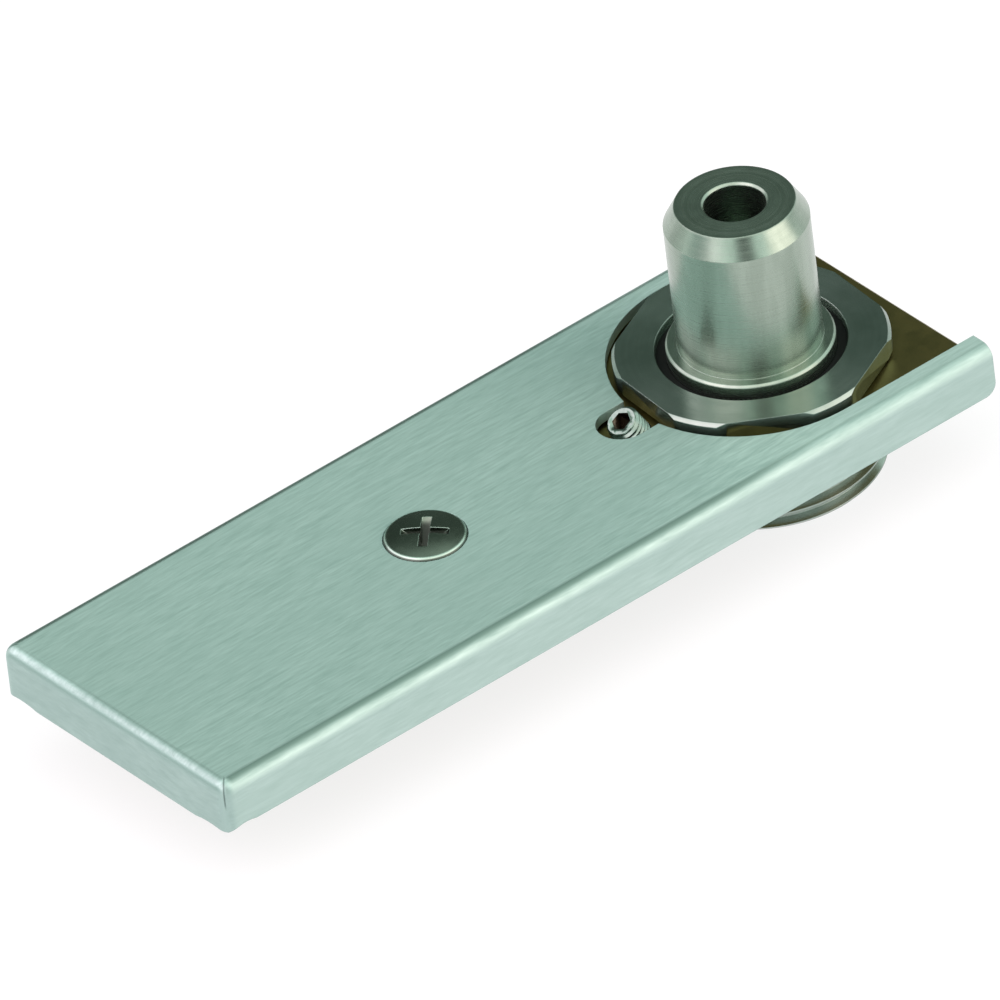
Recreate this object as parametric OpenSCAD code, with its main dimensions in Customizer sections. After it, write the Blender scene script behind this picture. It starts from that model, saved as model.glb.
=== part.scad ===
// Height-adjustable bottom pivot for a heavy door. A floor plate carries a bearing housing in a fine
// thread; the spindle turns in the housing on a thrust ball bearing, and a folded cover hides the plate.
// Millimetres. The origin is on the pivot axis, at the floor plate's underside; the open end is at +X.

/* [Floor plate] */
// Thickness of the floor plate
base_t = 6; // [5.5:0.5:8]
// Gap on each side between the floor plate and the cover's flanges
base_side_gap = 0.25; // [0.15:0.05:0.4]
// Length by which the cover stands past the floor plate at the open end
base_setback = 0.6; // [0.3:0.1:1.4]
// Chamfer on the floor plate's upper edges
base_edge = 0.6; // [0.3:0.1:0.9]
// Cut-off at the floor plate's four corners, seen from above
base_corner = 1.2; // [0.8:0.1:2]
// Distance from the pivot axis to the nearer pair of floor screws
screw_near_x = 36; // [34:0.5:42]
// Distance from the cover's closed end to the farther pair of floor screws
screw_end_gap = 12.5; // [11.5:0.5:16]
// Spacing of the floor screws across the plate
screw_dy = 26; // [20:0.5:27]
// Bore diameter of a floor screw hole
screw_bore_d = 6.5; // [5:0.1:7]
// Mouth diameter of a floor screw's countersink
screw_sink_d = 12.4; // [11:0.1:13]

/* [Cover] */
// Length of the cover
cover_l = 135; // [130:0.5:150]
// Width of the cover over its flanges
cover_w = 47.5; // [46.5:0.1:54]
// Thickness of the cover's sheet
sheet_t = 1.5; // [1.2:0.1:1.8]
// Gap between the floor plate and the cover's sheet
cover_gap = 0.5; // [0.3:0.1:0.8]
// Distance from the pivot axis to the cover's open end
open_end = 22.5; // [21.5:0.1:25]
// Inner radius of the folded edges
fold_inner_r = 0.4; // [0.2:0.05:0.6]
// Height of the closed end's lower edge above the floor
end_lift = 0.1; // [0.1:0.05:0.3]
// Height of the side flanges' lower edges above the closed end's
side_rise = 0.35; // [0.2:0.05:0.6]
// Radius of the hollow beside each drawn corner's ear, in the side flange
side_hollow_r = 6; // [4:0.5:8]
// Height of that hollow's top above the side flange's edge
side_hollow_h = 0.3; // [0.1:0.05:0.4]
// Distance from the cover's outer faces to the hollows, where an ear ends
ear_w = 0.5; // [0.3:0.1:1]
// Width of the shallow hollow beside each ear, in the end flange
end_hollow_w = 6.4; // [4:0.1:9]
// Radius of the side flanges' lower corners at the open end
flange_end_r = 1.8; // [1:0.1:2.5]
// Gap between the housing's head and the edge of the cover's cut-out
head_gap = 0.9; // [0.5:0.1:1]

/* [Cover screw] */
// Distance from the pivot axis to the cover screw
cover_screw_x = 57.5; // [50:0.5:60]
// Thread diameter of the cover screw
cover_screw_d = 6; // [5:0.5:6]
// Head diameter of the cover screw
cover_head_d = 11.6; // [10.5:0.1:11.8]
// Height of the screw head's dome above the cover
cover_dome_h = 1; // [0.8:0.1:1.4]
// Chamfer around the screw head's rim
cover_head_edge = 0.35; // [0.2:0.05:0.5]
// Height of the cover screw's tip above the floor
cover_tip_z = 0.6; // [0.4:0.1:2]
// Span of the cross recess
cross_span = 7.2; // [5:0.1:7.6]
// Width of one arm of the cross recess
cross_w = 1.3; // [0.9:0.1:1.6]
// Depth of the cross recess below the top of the dome
cross_depth = 3; // [2:0.1:3.4]

/* [Bearing housing] */
// Diameter of the height-adjusting thread
thread_d = 34; // [33:0.5:35]
// Ledge of the head's six flats past the thread
flat_ledge = 0.8; // [0.4:0.05:1.3]
// Ledge of the head's turned corners past the thread
head_ledge = 2; // [1.7:0.05:2.4]
// Thickness of the head
head_t = 2.85; // [2.2:0.05:3]
// Chamfer on both edges of the head
head_chamfer = 0.45; // [0.3:0.05:0.6]
// Clear height between the head and the floor plate at the lowest setting
head_lift = 0.3; // [0.2:0.05:0.6]
// Turn of the six flats from square, in degrees
head_turn = -4; // [-6:1:0]
// Width of the thread runout groove under the head
runout_w = 0.9; // [0.6:0.1:1.2]
// Depth of the thread runout groove
runout_depth = 1.1; // [0.8:0.05:1.4]
// Chamfer at the housing's lower end
housing_end_chamfer = 0.8; // [0.5:0.1:1.2]
// Thickness of the shoulder under the bearing
shoulder_t = 2.5; // [2:0.1:3]
// Step from the bearing's bore in to the recess under the shoulder
recess_step = 1.55; // [1:0.05:2.5]
// Thickness of the pressed-in bottom cap
cap_t = 1.2; // [0.8:0.1:1.4]

/* [Spindle] */
// Diameter of the spindle
spindle_d = 20; // [18:0.5:21]
// Height of the spindle's end above the collar
spindle_h = 22.4; // [20:0.1:40]
// Width of the lead-in chamfer at the spindle's end
lead_w = 1.7; // [1:0.1:2.2]
// Height of the lead-in chamfer
lead_h = 2.9; // [2:0.1:4]
// Diameter of the blind hole
hole_d = 8.5; // [6:0.1:10]
// Depth of the blind hole's straight wall
hole_depth = 18; // [12:0.5:19]
// Chamfer at the blind hole's mouth
hole_chamfer = 0.3; // [0.2:0.1:0.8]
// Diameter of the collar
collar_d = 23.2; // [22.6:0.1:23.6]
// Height of the collar's face above the head's face
collar_rise = 1.05; // [0.8:0.05:1.5]
// Height of the collar
collar_t = 5.7; // [5:0.1:6.5]
// Chamfer on the collar's upper edge
collar_edge = 0.3; // [0.2:0.05:0.5]

/* [Thrust bearing] */
// Width of the thrust bearing's rings, from the journal out to the housing
bearing_w = 7; // [6.8:0.1:7.4]
// Height of the thrust bearing
bearing_h = 9; // [8.6:0.1:9.4]
// Diameter of a ball
ball_d = 4.762; // [4.5:0.01:5]
// Number of balls
ball_n = 10; // [8:1:10]
// Depth of a raceway
race_depth = 0.5; // [0.3:0.05:0.7]
// Thickness of the ball cage
cage_t = 2; // [1.4:0.1:2.4]

/* [Bushes, seal and circlip] */
// Wall of the upper bush and of the seal ring
upper_bush_wall = 1.35; // [1.2:0.05:1.6]
// Wall of the lower bush
lower_bush_wall = 1; // [0.8:0.1:1.2]
// Height of the seal ring
seal_h = 1.2; // [1:0.1:1.4]
// Depth of the seal ring's face below the head's face
seal_depth = 1.2; // [0.4:0.1:1.4]
// Thickness of the circlip
clip_t = 1; // [0.8:0.1:1.1]
// Width of the circlip's ring
clip_w = 2.3; // [1.8:0.1:2.6]
// Depth of the circlip's groove
clip_groove = 0.3; // [0.2:0.05:0.5]
// Height of the spindle's lower end below the circlip's groove
clip_lip = 0.55; // [0.5:0.05:5]

/* [Grub screw] */
// Thread diameter of the grub screw
grub_d = 5; // [4:0.5:5]
// Length of the grub screw
grub_l = 7; // [6:0.1:7]
// Tilt of the grub screw below level, in degrees
grub_tilt = 60; // [58:1:64]
// Gap between the grub screw and the circle that the head's corners sweep
grub_gap = 0.15; // [0.1:0.05:0.5]
// Height of the grub screw's outer face above the cover
grub_stand = 0.45; // [0:0.05:0.5]
// Width across the flats of its socket
grub_socket = 2.5; // [2:0.1:2.6]
// Half width of the cover's notch around the grub screw
notch_r = 3.7; // [3.4:0.1:4.2]
// Distance by which the notch's round end is centred short of the grub screw's face
notch_inset = 0.2; // [0:0.1:0.6]

/* [Fits] */
// Radial clearance of a running or threaded fit
fit = 0.05; // [0.02:0.01:0.08]
// Clearance between faces that pass each other freely
free = 0.3; // [0.2:0.05:0.35]
// Clearance between the balls and their raceways
ball_gap = 0.03; // [0.02:0.01:0.05]

/* [Hidden] */
$fn = 96;
eps = 0.01;
far = 200;

sheet_z = base_t + cover_gap;
cover_top = sheet_z + sheet_t;
closed_end = open_end - cover_l;
side_lift = end_lift + side_rise;
bend_r = fold_inner_r + sheet_t;
base_w = cover_w - 2 * (sheet_t + base_side_gap);
base_x0 = closed_end + sheet_t + base_side_gap;
base_x1 = open_end - base_setback;

head_r = thread_d / 2 + head_ledge;
head_af = thread_d + 2 * flat_ledge;
cut_r = head_r + head_gap;
head_z = base_t + head_lift;
head_top = head_z + head_t;
body_r = thread_d / 2 - fit;

collar_top = head_top + collar_rise;
collar_z = collar_top - collar_t;
spindle_top = collar_top + spindle_h;
spindle_r = spindle_d / 2;
collar_r = collar_d / 2;
bore_r = collar_r + upper_bush_wall + 2 * fit;
recess_r = bore_r - recess_step;
bearing_r = bore_r - fit;
journal_r = bearing_r - bearing_w;
seat_z = collar_z - bearing_h;
shoulder_z = seat_z - shoulder_t;
clip_z = shoulder_z - free - clip_t;
journal_end = clip_z - fit - clip_lip;
housing_z = journal_end - free - cap_t;
seal_z = head_top - seal_depth - seal_h;
upper_bush_z = collar_z + free / 2;

ball_r = ball_d / 2;
ball_z = seat_z + bearing_h / 2;
race_r = (bearing_r + journal_r) / 2;
washer_t = bearing_h / 2 - ball_r - ball_gap + race_depth;

screw_sink_depth = (screw_sink_d - screw_bore_d) / 2;
cover_head_r = cover_head_d / 2;
cover_sink_r = cover_head_r + fit;
cover_cone_h = cover_head_r - cover_screw_d / 2;
cover_screw_l = cover_top - cover_tip_z;
grub_r = grub_d / 2;
grub_z = cover_top + grub_stand;
grub_drop = grub_z - head_z - head_chamfer;
grub_x = head_r + grub_gap + grub_r / sin(grub_tilt) + grub_drop / tan(grub_tilt);
notch_x = grub_x - notch_inset;
drill_point = 31;

// ---- Shared shapes ----

// A ring with a square section, from z = low upwards
module ring(outer_r, inner_r, height, low) {
    translate([0, 0, low])
    difference() {
        cylinder(h = height, r = outer_r);
        translate([0, 0, -eps]) cylinder(h = height + 2 * eps, r = inner_r);
    }
}

// A square-cornered rectangle whose upper corners are rounded on the chosen sides
module arched(x0, x1, y0, y1, r, left, right) {
    difference() {
        translate([x0, y0]) square([x1 - x0, y1 - y0]);
        if (left) arch_waste(x0, y1, r, 1);
        if (right) arch_waste(x1, y1, r, -1);
    }
}

// What rounding takes off an upper corner at (x, y); side is 1 at the left and -1 at the right
module arch_waste(x, y, r, side) {
    difference() {
        translate([side > 0 ? x - eps : x - r, y - r]) square([r + eps, r + eps]);
        translate([x + side * r, y - r]) circle(r = r);
    }
}

// Lays a drawing of the XZ plane in place and gives it a width along Y
module along_y(width) {
    translate([0, width / 2, 0]) rotate([90, 0, 0]) linear_extrude(width) children();
}

// Lays a drawing of the YZ plane in place and gives it a length along X
module along_x(x0, x1) {
    translate([x0, 0, 0]) rotate([90, 0, 90]) linear_extrude(x1 - x0) children();
}

// Moves its children onto the grub screw's axis: z = 0 at the outer face, +Z out of the plate
module on_grub_axis() {
    translate([-grub_x, 0, grub_z]) rotate([0, grub_tilt - 90, 0]) children();
}

// ---- Floor plate ----

module base_plate() {
    color("#8a7a45")
    difference() {
        base_blank();
        translate([0, 0, -eps]) cylinder(h = base_t + 2 * eps, r = thread_d / 2);
        for (x = [-screw_near_x, closed_end + screw_end_gap], side = [-1, 1])
            translate([x, side * screw_dy / 2, 0]) floor_screw_hole();
        translate([-cover_screw_x, 0, 0]) cover_screw_tap();
        on_grub_axis() translate([0, 0, -grub_l - 2 * fit]) cylinder(h = far, r = grub_r);
    }
}

module base_blank() {
    intersection() {
        along_x(base_x0, base_x1) base_end_view();
        along_y(base_w) base_side_view();
        linear_extrude(base_t) base_plan();
    }
}

module base_end_view() {
    polygon(chamfered(-base_w / 2, base_w / 2));
}

module base_side_view() {
    polygon(chamfered(base_x0, base_x1));
}

// The plate's section between two sides, with both upper edges chamfered
function chamfered(a, b) = [
    [a, 0], [b, 0], [b, base_t - base_edge], [b - base_edge, base_t], [a + base_edge, base_t],
    [a, base_t - base_edge]
];

module base_plan() {
    w = base_w / 2;
    c = base_corner;
    polygon([
        [base_x0 + c, -w], [base_x1 - c, -w], [base_x1, -w + c], [base_x1, w - c],
        [base_x1 - c, w], [base_x0 + c, w], [base_x0, w - c], [base_x0, -w + c]
    ]);
}

module floor_screw_hole() {
    translate([0, 0, -eps]) cylinder(h = base_t + 2 * eps, d = screw_bore_d);
    translate([0, 0, base_t - screw_sink_depth])
        cylinder(h = screw_sink_depth + eps, d1 = screw_bore_d, d2 = screw_sink_d + 2 * eps);
}

module cover_screw_tap() {
    translate([0, 0, -eps]) cylinder(h = base_t + 2 * eps, d = cover_screw_d);
    cover_sink();
}

// The cone that the cover screw's head sits in, through the sheet and into the floor plate
module cover_sink() {
    depth = cover_sink_r - cover_screw_d / 2;
    translate([0, 0, cover_top - depth])
        cylinder(h = depth + eps, r1 = cover_screw_d / 2, r2 = cover_sink_r + eps);
}

// ---- Cover ----

module cover_plate() {
    color("#b9c4be")
    difference() {
        cover_skin(0, end_lift);
        cover_skin(sheet_t, -base_t);
        for (side = [-1, 1]) side_edge_cut(side);
        for (side = [-1, 1]) end_hollow(side);
        open_end_cut();
        cover_cut_out();
        grub_notch();
        translate([-cover_screw_x, 0, 0]) cover_sink();
    }
}

// The cover's rounded block, drawn in by the sheet's thickness for the inside: two side folds, the end
// fold, and a ball-ended post at each corner where they meet
module cover_skin(inset, low) {
    r = bend_r - inset;
    w = cover_w / 2 - inset;
    x0 = closed_end + inset;
    top = cover_top - inset;
    along_x(x0 + r, open_end + inset) arched(-w, w, low, top, r, true, true);
    along_y(2 * (w - r)) arched(x0, x0 + 3 * r, low, top, r, true, false);
    for (side = [-1, 1]) translate([x0 + r, side * (w - r), 0]) {
        translate([0, 0, low]) cylinder(h = top - r - low, r = r);
        translate([0, 0, top - r]) sphere(r = r);
    }
}

// Lifts one side flange's lower edge, with a hollow at the closed end that leaves an ear on the corner
module side_edge_cut(side) {
    hollow_top = side_lift + side_hollow_h;
    sag = hollow_top - end_lift;
    r = side_hollow_r;
    x = closed_end + ear_w + sqrt(2 * r * sag - sag * sag);
    translate([0, side * (cover_w - bend_r) / 2, 0]) along_y(bend_r + 2 * eps) {
        translate([x, hollow_top - r]) circle(r = r);
        translate([x, side_lift - r]) square([cover_l, r]);
    }
}

// The shallow hollow in the end flange beside one ear
module end_hollow(side) {
    sag = side_lift - end_lift;
    r = (pow(end_hollow_w / 2, 2) + sag * sag) / (2 * sag);
    y = side * (cover_w / 2 - ear_w - end_hollow_w / 2);
    translate([closed_end - eps, y, side_lift - r]) rotate([0, 90, 0]) cylinder(h = sheet_t + 2 * eps, r = r);
}

// Rounds the side flanges' lower corners at the open end
module open_end_cut() {
    r = flange_end_r;
    along_y(cover_w + 2 * eps)
        difference() {
            translate([open_end - r, side_lift - r]) square([r + eps, 2 * r]);
            translate([open_end - r, side_lift + r]) circle(r = r);
        }
}

// The U-shaped cut-out around the housing's head, open at the end
module cover_cut_out() {
    translate([0, 0, sheet_z - eps]) cylinder(h = sheet_t + 2 * eps, r = cut_r);
    translate([0, -cut_r, sheet_z - eps]) cube([open_end + eps, 2 * cut_r, sheet_t + 2 * eps]);
}

module grub_notch() {
    translate([-notch_x, 0, sheet_z - eps]) cylinder(h = sheet_t + 2 * eps, r = notch_r);
    translate([-notch_x, -notch_r, sheet_z - eps]) cube([notch_x - head_r, 2 * notch_r, sheet_t + 2 * eps]);
}

// ---- Screws ----

module cover_screw() {
    color("#4a4f4b")
    translate([-cover_screw_x, 0, cover_top])
    difference() {
        rotate_extrude() cover_screw_half();
        cross_recess();
    }
}

// Half section of the raised countersunk screw; y = 0 is the cover's face
module cover_screw_half() {
    shank_r = cover_screw_d / 2 - fit;
    lead = 0.6;
    low = -cover_screw_l;
    cap_h = cover_dome_h - cover_head_edge;
    dome_r = (pow(cover_head_r - cover_head_edge, 2) + pow(cap_h, 2)) / (2 * cap_h);
    difference() {
        intersection() {
            translate([0, cover_dome_h - dome_r]) circle(r = dome_r);
            polygon([
                [0, low], [cover_head_r, low], [cover_head_r, 0],
                [cover_head_r - 2 * cover_dome_h, 2 * cover_dome_h], [0, 2 * cover_dome_h]
            ]);
        }
        polygon([
            [cover_head_r, 0], [shank_r, -cover_cone_h - fit], [shank_r, low + lead], [shank_r - lead, low],
            [shank_r - lead, low - 1], [cover_head_r + 1, low - 1], [cover_head_r + 1, 0]
        ]);
    }
}

// Two crossed arms that narrow towards the bottom of the recess
module cross_recess() {
    translate([0, 0, cover_dome_h - cross_depth])
    intersection() {
        cylinder(h = cross_depth + eps, r1 = cross_w / 2, r2 = cross_span / 2);
        for (turn = [45, 135]) rotate(turn)
            translate([-cross_span / 2, -cross_w / 2, 0]) cube([cross_span, cross_w, cross_depth + eps]);
    }
}

module grub_screw() {
    color("#c9cdc9")
    on_grub_axis()
    difference() {
        rotate_extrude() grub_half();
        translate([0, 0, -grub_socket]) cylinder(h = grub_socket + eps, d = grub_socket / cos(30), $fn = 6);
    }
}

// Half section of the grub screw, with its outer face at y = 0
module grub_half() {
    r = grub_r - fit;
    lead = 0.4;
    point = 1.2;
    polygon([
        [0, 0], [r - lead, 0], [r, -lead], [r, -grub_l + point], [r - point, -grub_l], [0, -grub_l]
    ]);
}

// ---- Bearing housing ----

module bearing_housing() {
    bush_bore_r = journal_r + lower_bush_wall + 2 * fit;
    mouth = 0.2;
    color("#6f7772")
    difference() {
        union() {
            rotate_extrude() housing_half();
            housing_head();
        }
        translate([0, 0, seat_z]) cylinder(h = far, r = bore_r);
        translate([0, 0, shoulder_z - eps]) cylinder(h = shoulder_t + 2 * eps, r = bush_bore_r);
        translate([0, 0, housing_z - eps]) cylinder(h = shoulder_z - housing_z + eps, r = recess_r);
        translate([0, 0, head_top - mouth]) cylinder(h = mouth + eps, r1 = bore_r, r2 = bore_r + mouth + eps);
    }
}

// Half section of the threaded body, up to the head's underside
module housing_half() {
    c = housing_end_chamfer;
    groove_r = body_r - runout_depth;
    polygon([
        [0, housing_z], [body_r - c, housing_z], [body_r, housing_z + c],
        [body_r, head_z - runout_w - runout_depth], [groove_r, head_z - runout_w],
        [groove_r, head_z + eps], [0, head_z + eps]
    ]);
}

// The six-sided head with turned and chamfered corners
module housing_head() {
    c = head_chamfer;
    intersection() {
        translate([0, 0, head_z]) rotate(30 + head_turn)
            cylinder(h = head_t, d = head_af / cos(30), $fn = 6);
        rotate_extrude() polygon([
            [0, head_z], [head_r - c, head_z], [head_r, head_z + c], [head_r, head_top - c],
            [head_r - c, head_top], [0, head_top]
        ]);
    }
}

module upper_bush() {
    color("#a8813f") ring(bore_r - fit, collar_r + fit, seal_z - upper_bush_z, upper_bush_z);
}

module lower_bush() {
    inner = journal_r + fit;
    color("#a8813f") ring(inner + lower_bush_wall, inner, shoulder_t, shoulder_z);
}

module seal_ring() {
    color("#15181a") ring(bore_r - fit, collar_r + fit, seal_h, seal_z);
}

module bottom_cap() {
    color("#8b9089") translate([0, 0, housing_z]) cylinder(h = cap_t, r = recess_r - fit);
}

// ---- Spindle ----

module spindle() {
    point_h = hole_d / 2 * tan(drill_point);
    color("#b5bbb4")
    difference() {
        rotate_extrude() spindle_half();
        translate([0, 0, spindle_top - hole_depth]) cylinder(h = hole_depth + eps, d = hole_d);
        translate([0, 0, spindle_top - hole_depth - point_h])
            cylinder(h = point_h + eps, r1 = 0, r2 = hole_d / 2);
        translate([0, 0, spindle_top - hole_chamfer])
            cylinder(h = hole_chamfer + eps, d1 = hole_d, d2 = hole_d + 2 * (hole_chamfer + eps));
    }
}

// Half section of the spindle with its collar, journal and circlip groove
module spindle_half() {
    c = 0.3;
    polygon([
        [0, journal_end], [journal_r - c, journal_end], [journal_r, journal_end + c],
        [journal_r, clip_z - fit], [journal_r - clip_groove, clip_z - fit],
        [journal_r - clip_groove, clip_z + clip_t + fit], [journal_r, clip_z + clip_t + fit],
        [journal_r, collar_z], [collar_r, collar_z], [collar_r, collar_top - collar_edge],
        [collar_r - collar_edge, collar_top], [spindle_r, collar_top],
        [spindle_r, spindle_top - lead_h], [spindle_r - lead_w, spindle_top], [0, spindle_top]
    ]);
}

module circlip() {
    r = journal_r - clip_groove;
    ear_r = clip_w * 0.75;
    ear_x = r + ear_r;
    ear_turn = 22;
    mouth_x = 2 * ear_x;
    mouth_y = mouth_x * tan(9);
    color("#3d4140")
    translate([0, 0, clip_z]) linear_extrude(clip_t)
    difference() {
        union() {
            circle(r = r + clip_w);
            for (turn = [-ear_turn, ear_turn]) rotate(turn) translate([ear_x, 0]) circle(r = ear_r);
        }
        circle(r = r);
        polygon([[0, 0], [mouth_x, -mouth_y], [mouth_x, mouth_y]]);
        for (turn = [-ear_turn, ear_turn]) rotate(turn) translate([ear_x, 0]) circle(r = ear_r * 0.4);
    }
}

// ---- Thrust bearing ----

module race() {
    translate([0, 0, ball_z]) rotate_extrude() translate([race_r, 0]) circle(r = ball_r + ball_gap);
}

module shaft_washer() {
    color("#9ba19c")
    difference() {
        ring(bearing_r - free / 2, journal_r + fit / 2, washer_t, collar_z - washer_t);
        race();
    }
}

module housing_washer() {
    color("#9ba19c")
    difference() {
        ring(bearing_r - fit, journal_r + free, washer_t, seat_z);
        race();
    }
}

module ball_cage() {
    color("#b08d46")
    difference() {
        ring(bearing_r - free, journal_r + free, cage_t, ball_z - cage_t / 2);
        at_balls() cylinder(h = 2 * cage_t, r = ball_r + 2 * fit, center = true);
    }
}

module bearing_balls() {
    color("#dfe3e0") at_balls() sphere(r = ball_r);
}

module at_balls() {
    for (i = [0:ball_n - 1]) rotate(i * 360 / ball_n) translate([race_r, 0, ball_z]) children();
}

base_plate();
cover_plate();
cover_screw();
grub_screw();
bearing_housing();
upper_bush();
lower_bush();
seal_ring();
bottom_cap();
spindle();
shaft_washer();
circlip();
housing_washer();
ball_cage();
bearing_balls();
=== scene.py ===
"""Looks for the bottom door pivot: materials, real threads, studio light and camera.

Everything is in metres, in the CAD's frame: Z is the pivot's axis, and the cover runs towards -X.
"""

import bmesh
import bpy
from math import cos, hypot, pi, radians, sin
from mathutils import Matrix, Vector


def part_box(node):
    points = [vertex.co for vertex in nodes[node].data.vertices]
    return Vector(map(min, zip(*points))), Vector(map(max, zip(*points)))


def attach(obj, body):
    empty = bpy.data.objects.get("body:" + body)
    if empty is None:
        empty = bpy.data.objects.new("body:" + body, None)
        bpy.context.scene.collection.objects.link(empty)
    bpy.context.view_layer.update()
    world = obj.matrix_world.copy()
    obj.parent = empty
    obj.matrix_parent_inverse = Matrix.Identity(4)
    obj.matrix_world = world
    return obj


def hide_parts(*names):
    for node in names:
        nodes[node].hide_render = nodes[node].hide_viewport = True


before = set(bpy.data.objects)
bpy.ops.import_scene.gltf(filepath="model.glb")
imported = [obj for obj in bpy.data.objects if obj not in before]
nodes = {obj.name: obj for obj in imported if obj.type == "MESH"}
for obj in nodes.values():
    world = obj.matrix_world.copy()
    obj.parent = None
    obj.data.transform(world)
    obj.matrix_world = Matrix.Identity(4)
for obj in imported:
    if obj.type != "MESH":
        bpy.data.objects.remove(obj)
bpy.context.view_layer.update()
MM = 0.001
cover_low, cover_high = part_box("cover_plate")
screw_low, screw_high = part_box("cover_screw")
housing_low, housing_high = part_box("bearing_housing")

# ---- Sizes that part.scad has too ----
BODY_R = 16.95 * MM
HEAD_T = 2.85 * MM
RUNOUT_W = 0.9 * MM
RUNOUT_DEPTH = 1.1 * MM
END_CHAMFER = 0.8 * MM
GRUB_R = 2.45 * MM
GRUB_L = 7 * MM
GRUB_TILT = radians(60)
GRUB_LEAD = 0.4 * MM
GRUB_POINT = 1.2 * MM
GRUB_SOCKET = 2.5 * MM

# ---- Threads, which only this script has ----
THREAD_PITCH = 2 * MM
THREAD_DEPTH = 1.05 * MM
# In turns: it puts the crests where the photo shows them
THREAD_START = 0.61
THREAD_STEPS = 180
GRUB_PITCH = 0.8 * MM
GRUB_DEPTH = 0.42 * MM
GRUB_STEPS = 72

# ---- Meshes ----
SHARP_ANGLE = radians(28)
# Points within NEAR count as level with each other, and points within WELD as one
NEAR = 0.01 * MM
WELD = 0.001 * MM


# ---- Camera ----
# In degrees
VIEW_AZIMUTH = -35.525
VIEW_ELEVATION = 35.991
VIEW_ROLL = -7.047
LENS_MM = 1500
SENSOR_MM = 36
PICTURE_PX = 1000
PX_PER_M = 7434.3
AIM_POINT = (-45 * MM, 0, 8 * MM)
AIM_RIGHT = 0.46 * MM
AIM_DOWN = 0.64 * MM


def camera_axes():
    """The camera's right, up and backward directions; azimuth 0 looks along +Y."""
    a, e, roll = radians(VIEW_AZIMUTH), radians(VIEW_ELEVATION), radians(VIEW_ROLL)
    back = Vector((sin(a) * cos(e), -cos(a) * cos(e), sin(e)))
    level = Vector((cos(a), sin(a), 0))
    rise = back.cross(level)
    right = cos(roll) * level + sin(roll) * rise
    up = -sin(roll) * level + cos(roll) * rise
    return right, up, back


def add_camera():
    right, up, back = camera_axes()
    distance = LENS_MM / SENSOR_MM * PICTURE_PX / PX_PER_M
    target = Vector(AIM_POINT) + right * AIM_RIGHT - up * AIM_DOWN
    data = bpy.data.cameras.new("camera")
    data.lens = LENS_MM
    data.sensor_width = SENSOR_MM
    data.clip_start = 0.1
    data.clip_end = 30
    camera = bpy.data.objects.new("camera", data)
    bpy.context.scene.collection.objects.link(camera)
    turn = Matrix((right, up, back)).transposed().to_4x4()
    camera.matrix_world = Matrix.Translation(target + back * distance) @ turn
    bpy.context.scene.camera = camera
    bpy.context.scene.view_settings.view_transform = "Standard"


add_camera()


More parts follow.
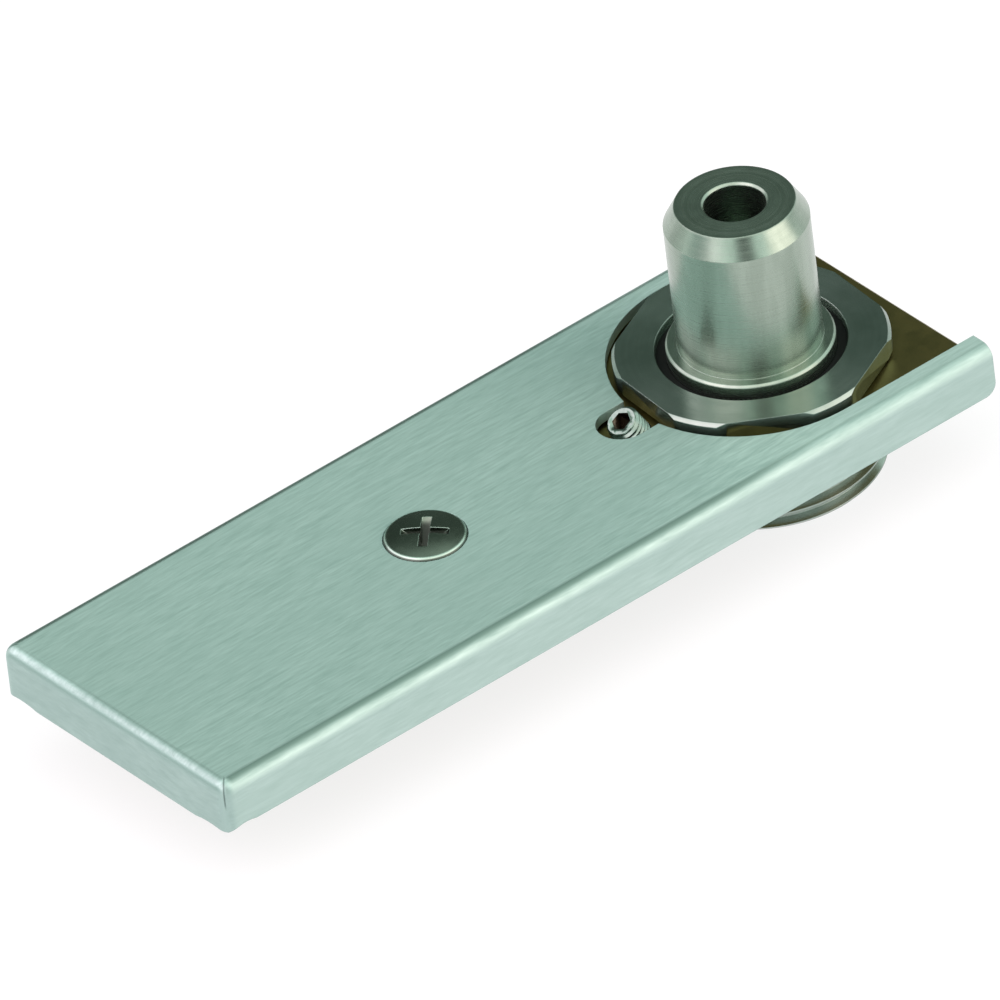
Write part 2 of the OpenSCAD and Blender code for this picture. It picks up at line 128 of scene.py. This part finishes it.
# ---- Node helpers ----
class Nodes:
    """Short calls for building a node tree."""

    def __init__(self, tree):
        self.tree = tree
        tree.nodes.clear()

    def add(self, kind, **settings):
        node = self.tree.nodes.new(kind)
        for key, value in settings.items():
            setattr(node, key, value)
        return node

    def link(self, source, socket):
        self.tree.links.new(source, socket)

    def feed(self, socket, value):
        if isinstance(value, bpy.types.NodeSocket):
            self.link(value, socket)
        elif value is not None:
            socket.default_value = value

    def maths(self, operation, a, b=None):
        node = self.add("ShaderNodeMath", operation=operation)
        self.feed(node.inputs[0], a)
        self.feed(node.inputs[1], b)
        return node.outputs[0]

    def plus(self, a, b):
        return self.maths("ADD", a, b)

    def minus(self, a, b):
        return self.maths("SUBTRACT", a, b)

    def times(self, a, b):
        return self.maths("MULTIPLY", a, b)

    def absolute(self, a):
        return self.maths("ABSOLUTE", a)

    def larger(self, a, b):
        return self.maths("MAXIMUM", a, b)

    def vector(self, operation, a, b=None):
        node = self.add("ShaderNodeVectorMath", operation=operation)
        self.feed(node.inputs[0], a)
        self.feed(node.inputs[1], b)
        return node.outputs["Value" if operation == "DOT_PRODUCT" else "Vector"]

    def split(self, vector):
        node = self.add("ShaderNodeSeparateXYZ")
        self.link(vector, node.inputs[0])
        return node.outputs[0], node.outputs[1], node.outputs[2]

    def place(self):
        return self.add("ShaderNodeTexCoord").outputs["Object"]

    def facing(self):
        return self.add("ShaderNodeNewGeometry").outputs["Normal"]

    def radius(self, x, y):
        return self.maths("SQRT", self.plus(self.times(x, x), self.times(y, y)))

    def scaled(self, vector, scale):
        node = self.add("ShaderNodeMapping")
        self.link(vector, node.inputs["Vector"])
        node.inputs["Scale"].default_value = scale
        return node.outputs[0]

    def noise(self, vector, scale=1.0, detail=3.0, rough=0.55):
        node = self.add("ShaderNodeTexNoise")
        self.link(vector, node.inputs["Vector"])
        node.inputs["Scale"].default_value = scale
        node.inputs["Detail"].default_value = detail
        node.inputs["Roughness"].default_value = rough
        return node.outputs["Fac"]

    def ramp(self, value, low, high, to_low=0.0, to_high=1.0, smooth=True):
        """Takes low to to_low and high to to_high, and stops there."""
        node = self.add("ShaderNodeMapRange")
        node.interpolation_type = "SMOOTHSTEP" if smooth else "LINEAR"
        names = ("Value", "From Min", "From Max", "To Min", "To Max")
        for name, v in zip(names, (value, low, high, to_low, to_high)):
            self.feed(node.inputs[name], v)
        return node.outputs[0]

    def mix(self, factor, a, b, kind="RGBA", blend="MIX"):
        node = self.add("ShaderNodeMix", data_type=kind)
        if kind == "RGBA":
            node.blend_type = blend
        index = {"FLOAT": (0, 2, 3), "VECTOR": (0, 4, 5), "RGBA": (0, 6, 7)}[kind]
        for socket, value in zip(index, (factor, a, b)):
            self.feed(node.inputs[socket], value)
        return node.outputs[{"FLOAT": 0, "VECTOR": 1, "RGBA": 2}[kind]]

    def bump(self, height, depth, strength, normal=None):
        node = self.add("ShaderNodeBump")
        node.inputs["Strength"].default_value = strength
        node.inputs["Distance"].default_value = depth
        self.link(height, node.inputs["Height"])
        if normal is not None:
            self.link(normal, node.inputs["Normal"])
        return node.outputs[0]

    def soft_edges(self, radius):
        """The shading normal of a surface whose edges are broken by this radius."""
        node = self.add("ShaderNodeBevel", samples=6)
        node.inputs["Radius"].default_value = radius
        return node.outputs[0]

    def mottled(self, scale):
        """A fine noise, and a tone that adds one nine times coarser to it."""
        place = self.place()
        small = self.noise(place, scale, 4.0, 0.6)
        large = self.noise(place, scale / 9, 3.0, 0.55)
        return small, self.plus(self.times(small, 0.35), self.times(large, 0.65))


def rgba(colour):
    return (*colour, 1.0)


def new_material(name, metallic=0.0):
    material = bpy.data.materials.new(name)
    material.use_nodes = True
    n = Nodes(material.node_tree)
    shader = n.add("ShaderNodeBsdfPrincipled")
    shader.inputs["Metallic"].default_value = metallic
    output = n.add("ShaderNodeOutputMaterial")
    n.link(shader.outputs[0], output.inputs["Surface"])
    return material, n, shader


# ---- The cover's brushed steel ----
GRAIN_MEAN = 0.5
COVER_DARK = (0.335, 0.46, 0.425)
COVER_LIGHT = (0.485, 0.62, 0.585)
COVER_CLOUD = (0.37, 0.50, 0.465)
# Painted shade: the dark line where each fold begins stands in for a dark reflection
FOLD_PAINTED_SHADE = (0.18, 0.265, 0.235)
SEAM_DARK = (0.10, 0.14, 0.13)
# These two multiply the colour of the top: along its length, and near its open end
TOP_TINT = (0.96, 0.985, 0.985)
OPEN_END_TINT = (1.14, 1.12, 1.13)
SEAM_LENGTH = 3 * MM
SEAM_FADE = 1.4 * MM
# Noise scales of the fine and the coarse brush strokes: along the cover, and level across its end wall
STROKES = (
    ((330, 2600, 2600), (2600, 500, 2600)),
    ((110, 1000, 1000), (1000, 260, 1000)),
)
CLOUDS = (25, 110, 110)


def cover_grain(n, place, normal_x, normal_z):
    """Brush strokes, as a grey value about GRAIN_MEAN; they are calmer on the walls than on the top."""
    end_wall = n.ramp(n.absolute(normal_x), 0.75, 0.95)
    halves = []
    for along, across in STROKES:
        stretched = n.mix(end_wall, n.scaled(place, along), n.scaled(place, across), "VECTOR")
        halves.append(n.times(n.noise(stretched), 0.5))
    calm = n.ramp(normal_z, 0.3, 0.9, 0.55, 0)
    return n.mix(calm, n.plus(*halves), GRAIN_MEAN, "FLOAT")


def painted_fold_shade(n, at, normal, from_end, from_side):
    """1 on the painted shade line where a fold begins, a painted dark reflection; it fades at the open
    end, at the corners and behind.
    """
    side_fade = n.ramp(at[0], -26 * MM, 0, 1, 0.2)
    end_fade = n.ramp(at[1], 2 * MM, 14 * MM, 0.3, 0)
    lines = []
    for tilt, fade, corner in ((normal[1], side_fade, from_end), (normal[0], end_fade, from_side)):
        tilt = n.absolute(tilt)
        line = n.times(n.ramp(tilt, 0.03, 0.22), n.ramp(tilt, 0.4, 0.9, 1, 0))
        lines.append(n.times(n.times(line, fade), n.ramp(corner, 1.5 * MM, 2.4 * MM)))
    return n.times(n.larger(*lines), n.ramp(normal[2], 0.2, 0.5))


def corner_seams(n, height, from_end, from_side):
    """1 on the fine seam down each closed corner."""
    off_seam = n.absolute(n.minus(from_end, from_side))
    seam = n.ramp(off_seam, 0.05 * MM, 0.24 * MM, 1, 0)
    seam = n.times(seam, n.ramp(from_end, 1.5 * MM, 2.1 * MM, 1, 0))
    seam_foot = cover_high.z - SEAM_LENGTH
    return n.times(seam, n.ramp(height, seam_foot - SEAM_FADE, seam_foot))


def brushed_cover():
    """Sheet steel with its brushing, painted shade lines where its folds begin and a fine seam down each
    closed corner.
    """
    material, n, shader = new_material("cover_brushed_steel", metallic=1)
    place = n.place()
    facing = n.facing()
    at = n.split(place)
    normal = n.split(facing)
    from_end = n.minus(at[0], cover_low.x)
    from_side = n.minus(cover_high.y, n.absolute(at[1]))
    top = n.ramp(normal[2], 0.985, 0.999)

    grain = cover_grain(n, place, normal[0], normal[2])
    colour = n.mix(n.ramp(grain, 0.36, 0.64, smooth=False), rgba(COVER_DARK), rgba(COVER_LIGHT))
    cloud = n.noise(n.scaled(place, CLOUDS), 1.0, 2.0, 0.5)
    colour = n.mix(n.ramp(cloud, 0.3, 0.7, 0, 0.3), colour, rgba(COVER_CLOUD))
    # The top is made lighter towards its open end
    toward_open_end = n.ramp(at[0], -22 * MM, 2 * MM)
    top_tone = n.mix(toward_open_end, rgba(TOP_TINT), rgba(OPEN_END_TINT))
    colour = n.mix(top, colour, top_tone, blend="MULTIPLY")
    # Painted shade along the start of each fold
    colour = n.mix(painted_fold_shade(n, at, normal, from_end, from_side), colour, rgba(FOLD_PAINTED_SHADE))
    seam = n.times(corner_seams(n, at[2], from_end, from_side), 0.75)
    n.link(n.mix(seam, colour, rgba(SEAM_DARK)), shader.inputs["Base Color"])

    wall_rough = n.ramp(grain, 0.35, 0.65, 0.5, 0.4, False)
    top_rough = n.ramp(grain, 0.35, 0.65, 0.66, 0.54, False)
    n.link(n.mix(top, wall_rough, top_rough, "FLOAT"), shader.inputs["Roughness"])
    shader.inputs["Anisotropic"].default_value = 0.7
    across = n.vector("CROSS_PRODUCT", facing, (1, 0, 0))
    n.link(n.vector("ADD", across, (0, 0.05, 0)), shader.inputs["Tangent"])
    n.link(n.bump(grain, 0.006 * MM, 0.35, n.soft_edges(0.12 * MM)), shader.inputs["Normal"])
    return material


# ---- The other materials ----
def turned(
    name, dark, light, rough, spread, rings=2600, bump=0.25, edge=0.12 * MM, show=0.6, wear=(160, 160, 90)
):
    """Metal turned on a lathe, with fine rings round the pivot's axis; show is their share of the tone."""
    material, n, shader = new_material(name, metallic=1)
    place = n.place()
    x, y, z = n.split(place)
    ring_place = n.add("ShaderNodeCombineXYZ")
    n.link(n.times(n.radius(x, y), rings), ring_place.inputs[0])
    n.link(n.times(z, rings), ring_place.inputs[1])
    grooves = n.noise(ring_place.outputs[0], 1.0, 2.0, 0.6)
    wander = n.noise(n.scaled(place, wear), 1.0, 3.0, 0.6)
    tone = n.plus(n.times(grooves, show), n.times(wander, 1 - show))
    n.link(n.mix(n.ramp(tone, 0.36, 0.64), rgba(dark), rgba(light)), shader.inputs["Base Color"])
    n.link(n.ramp(grooves, 0.3, 0.7, rough * 1.12, rough * 0.88), shader.inputs["Roughness"])
    shader.inputs["Anisotropic"].default_value = spread
    shader.inputs["Anisotropic Rotation"].default_value = 0.25
    tangent = n.add("ShaderNodeTangent", direction_type="RADIAL", axis="Z")
    n.link(tangent.outputs[0], shader.inputs["Tangent"])
    n.link(n.bump(grooves, 0.004 * MM, bump, n.soft_edges(edge)), shader.inputs["Normal"])
    return material


def plain_metal(name, dark, light, rough, scale=700, bump=0.2, edge=0.1 * MM):
    """Metal with a mottled tone, slightly uneven gloss and broken edges."""
    material, n, shader = new_material(name, metallic=1)
    small, tone = n.mottled(scale)
    n.link(n.mix(n.ramp(tone, 0.38, 0.62), rgba(dark), rgba(light)), shader.inputs["Base Color"])
    n.link(n.ramp(small, 0.3, 0.7, rough * 1.15, rough * 0.85), shader.inputs["Roughness"])
    n.link(n.bump(small, 0.01 * MM, bump, n.soft_edges(edge)), shader.inputs["Normal"])
    return material


def screw_head():
    """A screw with worn bright edges; its recess darkens with depth, as dark residue and painted shade,
    and a painted shadow line runs round its rim.
    """
    axis_x = (screw_low.x + screw_high.x) / 2
    rim_r = (screw_high.x - screw_low.x) / 2
    recess_r = 3.7 * MM
    recess_z = screw_high.z - 0.45 * MM
    rough = 0.25
    material, n, shader = new_material("screw_polished_steel")
    small, tone = n.mottled(900)
    x, y, z = n.split(n.place())
    radius = n.radius(n.minus(x, axis_x), y)
    edges = n.soft_edges(0.18 * MM)

    # Darker and less metallic deeper in the recess: dark residue, and painted shade where the recess lies
    # in shade
    pit = n.ramp(z, recess_z - 0.7 * MM, recess_z, 1, 0)
    pit = n.times(pit, n.ramp(radius, recess_r, recess_r + 0.3 * MM, 0.9, 0))
    # Painted shadow: the dark line just inside the rim stands in for the shadow gap round the head
    rim_painted_shadow = n.ramp(radius, rim_r - 0.26 * MM, rim_r - 0.14 * MM)
    corner = n.ramp(n.vector("DOT_PRODUCT", edges, n.facing()), 0.86, 0.985, 1, 0)
    worn = n.larger(corner, n.ramp(radius, rim_r - 0.6 * MM, rim_r - 0.4 * MM))

    colour = n.mix(n.ramp(tone, 0.38, 0.62), rgba((0.115, 0.145, 0.115)), rgba((0.165, 0.205, 0.165)))
    colour = n.mix(worn, colour, rgba((0.42, 0.53, 0.46)))
    colour = n.mix(pit, colour, rgba((0.05, 0.062, 0.048)))
    colour = n.mix(n.times(rim_painted_shadow, 0.85), colour, rgba((0.02, 0.024, 0.018)))
    n.link(colour, shader.inputs["Base Color"])
    gloss = n.ramp(small, 0.3, 0.7, rough * 1.15, rough * 0.85)
    n.link(n.mix(pit, gloss, 0.6, "FLOAT"), shader.inputs["Roughness"])
    n.link(n.minus(1.0, pit), shader.inputs["Metallic"])
    n.link(n.bump(small, 0.01 * MM, 0.1, edges), shader.inputs["Normal"])
    return material


def moulded_rubber():
    material, n, shader = new_material("seal_rubber")
    grain = n.noise(n.place(), 2600, 3.0, 0.6)
    colour = n.mix(n.ramp(grain, 0.35, 0.65), rgba((0.003, 0.004, 0.0035)), rgba((0.007, 0.008, 0.0075)))
    n.link(colour, shader.inputs["Base Color"])
    n.link(n.ramp(grain, 0.3, 0.7, 0.5, 0.7), shader.inputs["Roughness"])
    shader.inputs["Specular IOR Level"].default_value = 0.15
    n.link(n.bump(grain, 0.01 * MM, 0.3), shader.inputs["Normal"])
    return material


cover_steel = brushed_cover()
screw_steel = screw_head()
rubber = moulded_rubber()
spindle_steel = turned(
    "spindle_turned_steel", (0.305, 0.37, 0.31), (0.355, 0.425, 0.36), 0.26, spread=0.35,
    bump=0.01, edge=0.22 * MM, show=0.2, wear=(420, 420, 60)
)
housing_steel = turned(
    "housing_polished_steel", (0.27, 0.33, 0.29), (0.35, 0.41, 0.37), 0.22, spread=0.85,
    rings=1500, bump=0.06, edge=0.1 * MM, show=0.35
)
bearing_steel = turned("bearing_ground_steel", (0.58, 0.60, 0.60), (0.68, 0.70, 0.70), 0.12, spread=0.4)
bronze = turned("bush_sintered_bronze", (0.50, 0.34, 0.14), (0.62, 0.45, 0.20), 0.36, spread=0.3)
cap_steel = turned("cap_pressed_steel", (0.42, 0.46, 0.43), (0.52, 0.56, 0.52), 0.3, spread=0.5)
plated_steel = plain_metal(
    "base_yellow_passivated", (0.125, 0.105, 0.033), (0.20, 0.165, 0.06), 0.34,
    scale=420, bump=0.3, edge=0.15 * MM
)
grub_steel = plain_metal("grub_steel", (0.23, 0.30, 0.26), (0.33, 0.41, 0.36), 0.2, scale=1500, bump=0.15)
# Painted shade: a very dark material for the hex socket's faces, for the shade deep inside it
painted_socket_shade = plain_metal(
    "grub_socket_painted_shade", (0.05, 0.041, 0.029), (0.095, 0.08, 0.062), 0.3, scale=1500, edge=0.08 * MM
)
cage_brass = plain_metal("cage_stamped_brass", (0.55, 0.40, 0.14), (0.66, 0.50, 0.20), 0.3)
clip_steel = plain_metal("clip_spring_steel", (0.10, 0.11, 0.11), (0.16, 0.17, 0.17), 0.35)


def dress(node, material):
    """Gives a CAD node this material."""
    mesh = nodes[node].data
    if not mesh.materials:
        mesh.materials.append(material)
    for slot in nodes[node].material_slots:
        slot.material = material


for node, material in (
    ("base_plate", plated_steel), ("cover_plate", cover_steel), ("cover_screw", screw_steel),
    ("grub_screw", grub_steel), ("bearing_housing", housing_steel), ("upper_bush", bronze),
    ("lower_bush", bronze), ("seal_ring", rubber), ("bottom_cap", cap_steel), ("spindle", spindle_steel),
    ("shaft_washer", bearing_steel), ("circlip", clip_steel), ("housing_washer", bearing_steel),
    ("ball_cage", cage_brass), ("bearing_balls", bearing_steel),
):
    dress(node, material)


# ---- Threads ----
# Where one pitch of the profile has its points, and how much of it is flat crest and flat root
PHASES = (0.0, 0.0625, 0.125, 0.24, 0.35, 0.4625, 0.53, 0.6, 0.6625, 0.78, 0.89)
CREST_PART = 0.125
ROOT_PART = 0.2


def thread_shape(phase):
    """0 on the flat crest and 1 in the flat root of a thread, for a phase of 0 to 1."""
    flank = (1 - CREST_PART - ROOT_PART) / 2
    if phase < CREST_PART:
        return 0.0
    if phase < CREST_PART + flank:
        return (phase - CREST_PART) / flank
    if phase < CREST_PART + flank + ROOT_PART:
        return 1.0
    return (1 - phase) / flank


def open_rim(bm, z):
    """The points on the open edge at this height."""
    return [v.co.copy() for v in bm.verts if v.is_boundary and abs(v.co.z - z) < 2 * NEAR]


def thread_skin(bm, low, high, crest, depth, pitch, envelope, steps, start=0.0):
    """Adds a helical thread on the Z axis, cut off by envelope(z), and joins it to the open rims."""
    rims = {z: open_rim(bm, z) for z in (low, high)}
    turns = int((high - low) / pitch) + 3
    joined = set()
    rows = []
    for k in range(-1, turns):
        for phase in PHASES:
            row = []
            for i in range(steps + 1):
                z = low + (k + phase + start + i / steps - 1) * pitch
                if z < low + 2 * WELD:
                    z = low
                if z > high - 2 * WELD:
                    z = high
                r = envelope(z)
                if z not in rims:
                    r = min(r, crest - depth * thread_shape(phase))
                a = 2 * pi * i / steps
                point = Vector((r * cos(a), r * sin(a), z))
                if z in rims:
                    point = min(rims[z], key=lambda rim_point: (rim_point - point).length_squared)
                vert = bm.verts.new(point)
                row.append(vert)
                if z in rims:
                    joined.add(vert)
            rows.append(row)
    for a, b in zip(rows, rows[1:]):
        for i in range(steps):
            quad = (a[i], a[i + 1], b[i + 1], b[i])
            if not joined.issuperset(quad):
                bm.faces.new(quad)
    loose = [v for v in bm.verts if not v.link_faces]
    bmesh.ops.delete(bm, geom=loose, context="VERTS")


def finish_mesh(bm, name, material, body, node, matrix=None):
    """Turns bm into a piece that replaces a CAD node and rides on its body."""
    bmesh.ops.remove_doubles(bm, verts=bm.verts, dist=WELD)
    bmesh.ops.dissolve_degenerate(bm, dist=WELD, edges=bm.edges)
    bmesh.ops.recalc_face_normals(bm, faces=bm.faces)
    if matrix is not None:
        bm.transform(matrix)
    mesh = bpy.data.meshes.new(name)
    bm.to_mesh(mesh)
    bm.free()
    mesh.materials.append(material)
    obj = bpy.data.objects.new(name, mesh)
    bpy.context.scene.collection.objects.link(obj)
    mesh.shade_smooth()
    mesh.set_sharp_from_angle(angle=SHARP_ANGLE)
    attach(obj, body)
    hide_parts(node)
    return obj


def where(face):
    """A face's distance from the Z axis, and its height."""
    centre = face.calc_center_median()
    return hypot(centre.x, centre.y), centre.z


# ---- The bearing housing: the CAD solid's own faces, with a real thread in place of its plain side ----
HEAD_Z = housing_high.z - HEAD_T
GROOVE_R = BODY_R - RUNOUT_DEPTH
GROOVE_Z = HEAD_Z - RUNOUT_W
# Under the head, only the plain side lies further out than this
SIDE_R = 15.5 * MM


def housing_envelope(z):
    if z > GROOVE_Z:
        return GROOVE_R
    return min(BODY_R, BODY_R - END_CHAMFER + (z - housing_low.z), GROOVE_R + (GROOVE_Z - z))


def is_housing_side(face):
    r, z = where(face)
    return r > SIDE_R and z < HEAD_Z - NEAR


bm = bmesh.new()
bm.from_mesh(nodes["bearing_housing"].data)
bmesh.ops.delete(bm, geom=[f for f in bm.faces if is_housing_side(f)], context="FACES")
for f in bm.faces:
    f.material_index = 0
thread_skin(
    bm, housing_low.z, HEAD_Z, BODY_R, THREAD_DEPTH, THREAD_PITCH, housing_envelope,
    THREAD_STEPS, THREAD_START
)
finish_mesh(bm, "threaded_bearing_housing", housing_steel, "housing", "bearing_housing")


# ---- The grub screw: its own faces, with a real thread; here its top is at z = 0 ----
# Just outside the corners of the socket's hexagon
SOCKET_REACH = GRUB_SOCKET * 0.6


def grub_matrix():
    """Takes a grub screw that stands on the Z axis, with its top at z = 0, to its tilted place."""
    turn = Matrix.Rotation(GRUB_TILT - pi / 2, 4, "Y")
    upright = turn.inverted()
    points = [upright @ v.co for v in nodes["grub_screw"].data.vertices]
    top = max(p.z for p in points)
    across = [p.x for p in points if top - p.z < NEAR]
    return turn @ Matrix.Translation(((max(across) + min(across)) / 2, 0, top))


def grub_envelope(z):
    return min(GRUB_R, GRUB_R - GRUB_LEAD - z, GRUB_R - GRUB_POINT + (z + GRUB_L))


def is_grub_side(face):
    r, z = where(face)
    return NEAR - GRUB_L < z < -NEAR and (r > SOCKET_REACH or z < GRUB_POINT - GRUB_L)


def is_grub_socket(face):
    r, z = where(face)
    return r < SOCKET_REACH and -GRUB_L / 2 < z < -NEAR


grub_place = grub_matrix()
bm = bmesh.new()
bm.from_mesh(nodes["grub_screw"].data)
bm.transform(grub_place.inverted())
bmesh.ops.delete(bm, geom=[f for f in bm.faces if is_grub_side(f)], context="FACES")
# The socket's faces take the painted shade material
for f in bm.faces:
    f.material_index = 1 if is_grub_socket(f) else 0
thread_skin(bm, -GRUB_L, 0, GRUB_R, GRUB_DEPTH, GRUB_PITCH, grub_envelope, GRUB_STEPS)
grub = finish_mesh(bm, "threaded_grub_screw", grub_steel, "plate", "grub_screw", grub_place)
grub.data.materials.append(painted_socket_shade)


# ---- Floor ----
FLOOR_SIZE = 12
FLOOR_GAP = 0.3 * MM
FLOOR_GLOW = 0.8


def add_floor():
    """A plain pale floor just under the housing; it glows, so that shadows stay faint."""
    material, n, shader = new_material("pale_floor")
    shader.inputs["Base Color"].default_value = rgba((0.21, 0.20, 0.21))
    shader.inputs["Roughness"].default_value = 0.9
    shader.inputs["Specular IOR Level"].default_value = 0.1
    shader.inputs["Emission Color"].default_value = rgba((1, 1, 1))
    shader.inputs["Emission Strength"].default_value = FLOOR_GLOW
    bm = bmesh.new()
    bmesh.ops.create_grid(bm, x_segments=1, y_segments=1, size=FLOOR_SIZE / 2)
    mesh = bpy.data.meshes.new("floor")
    bm.to_mesh(mesh)
    bm.free()
    mesh.materials.append(material)
    floor = bpy.data.objects.new("floor", mesh)
    floor.location = (0, 0, housing_low.z - FLOOR_GAP)
    bpy.context.scene.collection.objects.link(floor)


add_floor()


# ---- Studio light: a pale sky with soft lamps and dark screens; the camera sees plain white ----
HORIZON = (0.64, 0.71, 0.67)
OVERHEAD = (1.25, 1.45, 1.38)
# Azimuth from +X towards +Y, elevation, full within, gone beyond (all in degrees), and colour
LIGHTS = (
    (54, 26, 26, 40, (0.13, 0.175, 0.15)),
    (8, 64, 8, 24, (1.25, 1.45, 1.35)),
    (-56, 38, 12, 27, (2.0, 1.9, 1.78)),
    (-58, 12, 12, 28, (2.6, 2.35, 2.2)),
    (124, 37, 12, 28, (2.1, 1.85, 2.0)),
    (-178, 46, 15, 29, (2.8, 2.4, 2.55)),
    (170, 8, 10, 24, (0.42, 0.55, 0.52)),
    (110, 2, 8, 18, (0.35, 0.42, 0.38)),
    (-112, 62, 10, 26, (1.85, 1.8, 1.7)),
    (-118, 29, 5, 19, (0.03, 0.045, 0.04)),
)


def direction(azimuth, elevation):
    a, e = radians(azimuth), radians(elevation)
    return (cos(a) * cos(e), sin(a) * cos(e), sin(e))


def add_studio():
    world = bpy.data.worlds.new("studio")
    bpy.context.scene.world = world
    world.use_nodes = True
    n = Nodes(world.node_tree)
    toward = n.vector("NORMALIZE", n.add("ShaderNodeTexCoord").outputs["Generated"])
    light = n.mix(n.ramp(n.split(toward)[2], 0.0, 0.5), rgba(HORIZON), rgba(OVERHEAD))
    for azimuth, elevation, inner, outer, colour in LIGHTS:
        dot = n.vector("DOT_PRODUCT", toward, direction(azimuth, elevation))
        lamp = n.ramp(dot, cos(radians(outer)), cos(radians(inner)))
        light = n.mix(lamp, light, rgba(colour))
    sky = n.add("ShaderNodeBackground")
    n.link(light, sky.inputs["Color"])
    white = n.add("ShaderNodeBackground")
    white.inputs["Color"].default_value = rgba((1, 1, 1))
    mixer = n.add("ShaderNodeMixShader")
    n.link(n.add("ShaderNodeLightPath").outputs["Is Camera Ray"], mixer.inputs[0])
    n.link(sky.outputs[0], mixer.inputs[1])
    n.link(white.outputs[0], mixer.inputs[2])
    output = n.add("ShaderNodeOutputWorld")
    n.link(mixer.outputs[0], output.inputs["Surface"])


add_studio()
